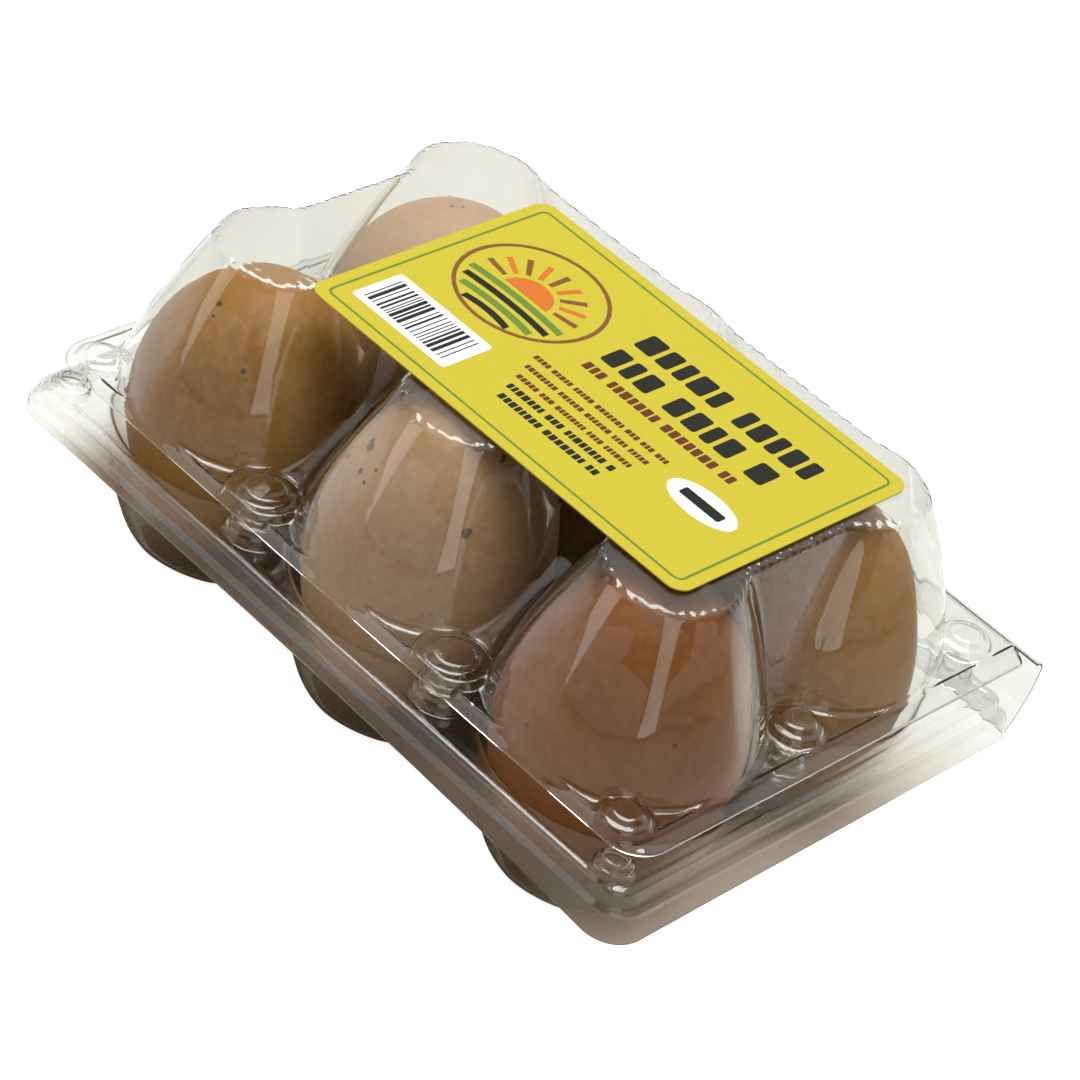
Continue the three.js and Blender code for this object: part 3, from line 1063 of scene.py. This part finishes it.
def shellGroup():
    # mottling, cloudy bands, dark specks and pores of an eggshell
    outputs = ("Cloud", "Freckle", "Speck", "Height")
    group, given, result = newGroup("eggShell", {"Seed": 0.0, "Specks": 0.3}, outputs)
    place = addNode(group, "ShaderNodeTexCoord").outputs["Object"]
    seed = given.outputs["Seed"]
    cloud = noise(group, place, *shellLook["cloud"], seed=seed)
    fleck = noise(group, place, *shellLook["fleck"], seed=seed)
    patch = noise(group, place, *shellLook["patch"], seed=seed)
    across = addNode(group, "ShaderNodeCombineXYZ", X=seed, Y=seed).outputs[0]
    shifted = vectorMaths(group, "ADD", place, across)
    spots = addNode(group, "ShaderNodeTexVoronoi", Vector=shifted, Scale=shellLook["speckScale"])
    pick = addNode(group, "ShaderNodeSeparateColor", Color=spots.outputs["Color"])
    size = times(group, pick.outputs[1], shellLook["speckSize"])
    past = maths(group, "SUBTRACT", spots.outputs["Distance"], size)
    dot = ramp(group, past, *shellLook["speckEdge"], 1.0, 0.0)
    crowd = ramp(group, patch, *shellLook["patchEdge"])
    limit = times(group, times(group, given.outputs["Specks"], crowd), shellLook["speckShare"])
    chosen = maths(group, "LESS_THAN", pick.outputs[0], limit)
    pores = addNode(group, "ShaderNodeTexVoronoi", Vector=place, Scale=shellLook["poreScale"])
    dimple = ramp(group, pores.outputs["Distance"], *shellLook["poreEdge"])
    grain = noise(group, place, *shellLook["grain"])
    height = maths(group, "ADD", times(group, dimple, shellLook["poreDepth"]), grain)
    group.links.new(ramp(group, cloud, *shellLook["cloudEdge"]), result.inputs["Cloud"])
    group.links.new(ramp(group, fleck, *shellLook["fleckEdge"]), result.inputs["Freckle"])
    group.links.new(times(group, dot, chosen), result.inputs["Speck"])
    group.links.new(height, result.inputs["Height"])
    return group


sheetLook = {
    "rippleScale": 70.0,
    "rippleDetail": 1.0,
    "marks": (700.0, 1.0),
    "marksEdge": (0.58, 0.78),
    "bumpDepth": 0.0004,
    "ior": 1.5,
    "straight": (0.93, 0.94, 0.92, 1),  # what shadow rays and soft light keep in passing
}


def sheetGroup():
    # slow ripples of a formed sheet, and fine handling marks
    inputs = {"Ripple size": 60.0, "Scuffs": 0.5}
    group, given, result = newGroup("formedSheet", inputs, ("Height", "Haze"))
    place = addNode(group, "ShaderNodeTexCoord").outputs["Object"]
    slow = noise(group, place, given.outputs["Ripple size"], sheetLook["rippleDetail"])
    marks = ramp(group, noise(group, place, *sheetLook["marks"]), *sheetLook["marksEdge"])
    group.links.new(slow, result.inputs["Height"])
    group.links.new(times(group, marks, given.outputs["Scuffs"]), result.inputs["Haze"])
    return group


inkLook = {
    "fibre": (900.0, 2.0),
    "slow": (45.0, 2.0),
    "fibreShare": 0.4,
    "strength": 0.12,
    "lighter": 1.12,
    "specular": 0.1,
    "bump": 0.1,
    "bumpDepth": 0.00005,
}


def inkGroup():
    # slight unevenness of printed paper
    group, given, result = newGroup("printedPaper", {"Strength": 0.1}, ("Tone", "Height"))
    place = addNode(group, "ShaderNodeTexCoord").outputs["Object"]
    fibre = noise(group, place, *inkLook["fibre"])
    slow = noise(group, place, *inkLook["slow"])
    both = maths(group, "ADD", times(group, fibre, inkLook["fibreShare"]), slow)
    group.links.new(times(group, both, given.outputs["Strength"]), result.inputs["Tone"])
    group.links.new(fibre, result.inputs["Height"])
    return group


groups = {"shell": shellGroup(), "sheet": sheetGroup(), "ink": inkGroup()}


def useGroup(tree, name, **values):
    node = tree.nodes.new("ShaderNodeGroup")
    node.node_tree = groups[name]
    for key, value in values.items():
        node.inputs[key.replace("_", " ")].default_value = value
    return node


def newMaterial(name):
    material = bpy.data.materials.new(name)
    material.use_nodes = True
    tree = material.node_tree
    return material, tree, tree.nodes["Principled BSDF"], tree.nodes["Material Output"]


def addBump(tree, shader, height, strength, depth):
    bump = addNode(tree, "ShaderNodeBump", Strength=strength, Distance=depth, Height=height)
    tree.links.new(bump.outputs[0], shader.inputs["Normal"])


def clearPlastic(name, tint, scuffs, ripple):
    # glass to what is seen through or mirrored, and nearly open to shadow rays and soft light
    material, tree, shader, output = newMaterial(name)
    shader.inputs["Base Color"].default_value = (*tint, 1)
    shader.inputs["IOR"].default_value = sheetLook["ior"]
    shader.inputs["Transmission Weight"].default_value = 1.0
    look = useGroup(tree, "sheet", Ripple_size=sheetLook["rippleScale"], Scuffs=scuffs)
    tree.links.new(look.outputs["Haze"], shader.inputs["Roughness"])
    addBump(tree, shader, look.outputs["Height"], ripple, sheetLook["bumpDepth"])
    seeThrough = addNode(tree, "ShaderNodeBsdfTransparent", Color=sheetLook["straight"])
    ray = tree.nodes.new("ShaderNodeLightPath")
    mix = tree.nodes.new("ShaderNodeMixShader")
    straight = maths(tree, "MAXIMUM", ray.outputs["Is Shadow Ray"], ray.outputs["Is Diffuse Ray"])
    tree.links.new(straight, mix.inputs[0])
    tree.links.new(shader.outputs[0], mix.inputs[1])
    tree.links.new(seeThrough.outputs[0], mix.inputs[2])
    tree.links.new(mix.outputs[0], output.inputs["Surface"])
    return material


shell = {
    "seedStep": 3.7,
    "freckles": 0.35,
    "specks": 0.8,
    "speckColour": (0.05, 0.025, 0.012),
    "spotColour": (0.030, 0.020, 0.010),
    "spotEdge": (0.8, 1.6),  # shares of a spot's radius where it starts and ends to fade
    "spotDepth": 0.9,
    "specular": 0.3,
    "roughness": 0.42,
    "cloudRoughness": 0.12,
    "bump": 0.35,
    "bumpDepth": 0.0001,
}


def eggShellMaterial(name, egg, seed, surface):
    material, tree, shader, _ = newMaterial(name)
    look = useGroup(tree, "shell", Seed=seed * shell["seedStep"], Specks=egg["speck"])
    cloud = look.outputs["Cloud"]
    freckles = times(tree, look.outputs["Freckle"], shell["freckles"])
    specks = times(tree, look.outputs["Speck"], shell["specks"])
    colour = mixColour(tree, cloud, egg["dark"], egg["base"])
    colour = mixColour(tree, freckles, colour, egg["light"])
    colour = mixColour(tree, specks, colour, shell["speckColour"])
    if egg["spots"]:
        place = addNode(tree, "ShaderNodeTexCoord").outputs["Object"]
        fadeFrom, fadeTo = (share * mm for share in shell["spotEdge"])
        marks = 0.0
        for x, y, z, radius in egg["spots"]:
            # the spot's place is drawn onto the shell
            spot = surface.find_nearest(Vector(toMetres((x, y, z))))[0]
            away = vectorMaths(tree, "DISTANCE", place, tuple(spot), "Value")
            mark = ramp(tree, away, radius * fadeFrom, radius * fadeTo, shell["spotDepth"], 0.0)
            marks = maths(tree, "MAXIMUM", mark, marks)
        colour = mixColour(tree, marks, colour, shell["spotColour"])
    tree.links.new(colour, shader.inputs["Base Color"])
    shader.inputs["Specular IOR Level"].default_value = shell["specular"]
    rough = maths(tree, "ADD", times(tree, cloud, shell["cloudRoughness"]), shell["roughness"])
    tree.links.new(rough, shader.inputs["Roughness"])
    addBump(tree, shader, look.outputs["Height"], shell["bump"], shell["bumpDepth"])
    return material


def inkMaterial(name, colour, roughness=0.4):
    material, tree, shader, _ = newMaterial(name)
    look = useGroup(tree, "ink", Strength=inkLook["strength"])
    light = tuple(min(c * inkLook["lighter"], 1) for c in colour)
    mixed = mixColour(tree, look.outputs["Tone"], colour, light)
    tree.links.new(mixed, shader.inputs["Base Color"])
    shader.inputs["Roughness"].default_value = roughness
    shader.inputs["Specular IOR Level"].default_value = inkLook["specular"]
    addBump(tree, shader, look.outputs["Height"], inkLook["bump"], inkLook["bumpDepth"])
    return material


# Pieces

def dress(piece, body, slot, material=None):
    if material:
        piece.data.materials.append(material)
    if body:
        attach(piece, body)
    return piece


sheets = {  # tint, scuffs and ripple of each sheet
    "lid": ((0.90, 0.91, 0.875), 0.12, 0.25),
    "tray": ((0.89, 0.90, 0.865), 0.14, 0.3),
}
lidPlastic = clearPlastic("clear_lid_sheet", *sheets["lid"])
trayPlastic = clearPlastic("clear_tray_sheet", *sheets["tray"])

lidPiece = dress(makeLid(), "cover", "clear_lid", lidPlastic)
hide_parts("lid")
trayPiece = dress(makeTray(), "base", "clear_tray", trayPlastic)
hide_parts("tray")
foldPiece = dress(makeFold(), None, "clear_tray", trayPlastic)
tuple(toMetres((0, fold["topY"], fold["topZ"] - 0.3)))
tuple(toMetres((0, fold["topY"] - 1.0, fold["topZ"] + 0.8)))
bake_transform(foldPiece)
print("clear sheets made")

labelColours = {
    "dark": ("ink_dark", (0.010, 0.011, 0.007)),
    "red": ("ink_red_brown", (0.10, 0.022, 0.010)),
    "brown": ("ink_brown", (0.16, 0.06, 0.02)),
    "orange": ("ink_orange", (0.45, 0.12, 0.015)),
    "green": ("ink_green", (0.10, 0.17, 0.03)),
    "white": ("ink_white", (0.68, 0.68, 0.68)),
}
paper = inkMaterial("label_paper", (0.40, 0.335, 0.024), 0.38)
inks = {key: inkMaterial(*row) for key, row in labelColours.items()}
cardPiece, printPiece = makeLabel(paper, inks)
dress(cardPiece, "cover", "printed_label")
dress(printPiece, "cover", "printed_label")
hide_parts("label")
print("label made")

for seed, (name, egg) in enumerate(eggRows.items(), 1):
    piece = makeEgg("shell_" + name, egg, seed)
    corners = [v.co for v in piece.data.vertices]
    surface = BVHTree.FromPolygons(corners, [p.vertices for p in piece.data.polygons])
    dress(piece, "base", egg["slot"], eggShellMaterial("shell_" + name, egg, seed, surface))
    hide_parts("egg_" + name)
print("eggs made")

# Floor, lights and surroundings

studio = {
    "floorHalf": 3.0,
    "floorColour": (0.80, 0.80, 0.78),
    "floorBounce": (0.3, 0.29, 0.28),
    "floorGlow": 0.75,  # lightens the floor's shadows for the camera alone
    "sidePaper": (0.64, 0.64, 0.62),
    "frontShade": (0.47, 0.37, 0.31),  # painted shade: dimmer warm paper on the camera's side, where the pack's shadow falls, for all but camera rays
    "frontFrom": -0.03,
    "frontFade": 0.05,
    "underShade": (0.165, 0.108, 0.076),  # painted shade: a dark brown card under the cups, where the pack's own shade falls
    "underMiddle": (-0.012, -0.008),
    "underHalf": (0.055, 0.034),
    "underFade": 0.02,
    "keyEnergy": 11.0,
    "keySize": 0.7,
    "keyPlace": (-0.1, 0.1, 0.95),
    "keyTarget": (0, 0, 0.03),
    "stripEnergy": 2.2,
    "stripWidth": 0.7,
    "stripHeight": 0.8,
    "stripLeft": (-0.57, -0.82, 0.4),
    "stripRight": (0.82, -0.57, 0.4),
    "stripTarget": (0, 0, 0.04),
    "floorRoughness": 0.9,
    "floorSpecular": 0.1,
    "exposure": 0.0,
}

room = {
    "backWay": (-0.569, 0.822, 0.0),  # away from the camera
    "backLight": 0.81,
    "backFade": (0.1, 0.55),
    "frontDark": 0.07,
    "blockLight": 0.42,
    "blockWidth": 0.33,
    "blockLow": 0.02,
    "blockSpread": 0.3,
    "topLight": 0.9,
    "topFade": (0.62, 0.8),
}


def makeFloor():
    half = studio["floorHalf"]
    corners = [(-half, -half, 0), (half, -half, 0), (half, half, 0), (-half, half, 0)]
    floor = meshObject("studio_floor", corners, [(0, 1, 2, 3)], smooth=False)
    material, tree, shader, _ = newMaterial("studio_paper")
    place = addNode(tree, "ShaderNodeTexCoord").outputs["Object"]
    # 0 on the painted shade under the cups and 1 outside it
    shifted = vectorMaths(tree, "SUBTRACT", place, (*studio["underMiddle"], 0))
    reach = vectorMaths(tree, "ABSOLUTE", shifted)
    past = vectorMaths(tree, "SUBTRACT", reach, (*studio["underHalf"], 0))
    away = vectorMaths(tree, "LENGTH", vectorMaths(tree, "MAXIMUM", past), result="Value")
    outside = ramp(tree, away, 0.0, studio["underFade"])
    # painted shade: the floor on the camera's side gets darker paper, standing in for the pack's shadow
    depth = vectorMaths(tree, "DOT_PRODUCT", place, room["backWay"], "Value")
    behind = ramp(tree, depth, studio["frontFrom"], studio["frontFrom"] + studio["frontFade"])
    ray = tree.nodes.new("ShaderNodeLightPath")
    paper = mixColour(tree, behind, studio["frontShade"], studio["sidePaper"])
    # painted shade: the dark card under the cups, seen by rays that pass through the sheets
    whole = mixColour(tree, outside, studio["underShade"], paper)
    whole = mixColour(tree, ray.outputs["Is Diffuse Ray"], whole, studio["floorBounce"])
    colour = mixColour(tree, ray.outputs["Is Camera Ray"], whole, studio["floorColour"])
    tree.links.new(colour, shader.inputs["Base Color"])
    shader.inputs["Emission Color"].default_value = (1, 1, 1, 1)
    glow = times(tree, ray.outputs["Is Camera Ray"], studio["floorGlow"])
    tree.links.new(glow, shader.inputs["Emission Strength"])
    shader.inputs["Roughness"].default_value = studio["floorRoughness"]
    shader.inputs["Specular IOR Level"].default_value = studio["floorSpecular"]
    floor.data.materials.append(material)


def areaLight(name, place, target, width, height, energy):
    data = bpy.data.lights.new(name, "AREA")
    data.shape = "RECTANGLE"
    data.size, data.size_y = width, height
    data.energy = energy
    lamp = bpy.data.objects.new(name, data)
    lamp.location = place
    lamp.rotation_euler = (Vector(target) - Vector(place)).to_track_quat("-Z", "Y").to_euler()
    bpy.context.scene.collection.objects.link(lamp)


def makeWorld():
    world = bpy.data.worlds.new("studio")
    bpy.context.scene.world = world
    world.use_nodes = True
    tree = world.node_tree
    background = tree.nodes["Background"]
    direction = addNode(tree, "ShaderNodeTexCoord").outputs["Generated"]
    split = addNode(tree, "ShaderNodeSeparateXYZ", Vector=direction)
    height = split.outputs[2]
    behind = vectorMaths(tree, "DOT_PRODUCT", direction, room["backWay"], "Value")
    # blocks of unequal height stand round the horizon, as the walls and windows of a room
    turn = maths(tree, "ARCTAN2", split.outputs[1], split.outputs[0])
    block = maths(tree, "FLOOR", maths(tree, "DIVIDE", turn, room["blockWidth"]))
    chance = addNode(tree, "ShaderNodeTexWhiteNoise", {"noise_dimensions": "1D"}, W=block)
    spread = times(tree, chance.outputs["Value"], room["blockSpread"])
    top = maths(tree, "ADD", spread, room["blockLow"])
    lit = maths(tree, "LESS_THAN", height, top)
    colour = mixColour(tree, lit, (room["frontDark"],) * 3, (room["blockLight"],) * 3)
    colour = mixColour(tree, ramp(tree, behind, *room["backFade"]), colour, (room["backLight"],) * 3)
    colour = mixColour(tree, ramp(tree, height, *room["topFade"]), colour, (room["topLight"],) * 3)
    ray = tree.nodes.new("ShaderNodeLightPath")
    seen = mixColour(tree, ray.outputs["Is Camera Ray"], colour, (1, 1, 1))
    tree.links.new(seen, background.inputs["Color"])


makeFloor()
makeWorld()
keySize = studio["keySize"]
areaLight("key", studio["keyPlace"], studio["keyTarget"], keySize, keySize, studio["keyEnergy"])
for name, place in (("strip_left", studio["stripLeft"]), ("strip_right", studio["stripRight"])):
    areaLight(name, place, studio["stripTarget"], studio["stripWidth"], studio["stripHeight"],
              studio["stripEnergy"])
print("studio made")

# Camera

view = {
    "azimuth": 34.70,  # degrees
    "elevation": 37.06,
    "roll": 17.37,
    "place": (323.973, -460.889, 451.473),
    "lens": 135.1,
    "sensor": 36.0,
}


def makeCamera():
    turn, lift, roll = (math.radians(view[key]) for key in ("azimuth", "elevation", "roll"))
    back = Vector((math.sin(turn) * math.cos(lift), -math.cos(turn) * math.cos(lift), math.sin(lift)))
    right = (-back).cross(Vector((0, 0, 1))).normalized()
    up = right.cross(-back)
    turnedRight = right * math.cos(roll) + up * math.sin(roll)
    turnedUp = up * math.cos(roll) - right * math.sin(roll)
    data = bpy.data.cameras.new("camera")
    data.lens = view["lens"]
    data.sensor_width = view["sensor"]
    camera = bpy.data.objects.new("camera", data)
    axes = Matrix((turnedRight, turnedUp, back)).transposed().to_4x4()
    camera.matrix_world = Matrix.Translation(Vector(toMetres(view["place"]))) @ axes
    bpy.context.scene.collection.objects.link(camera)
    bpy.context.scene.camera = camera


makeCamera()
bpy.context.scene.view_settings.view_transform = "Standard"
bpy.context.scene.view_settings.exposure = studio["exposure"]
print("camera made")
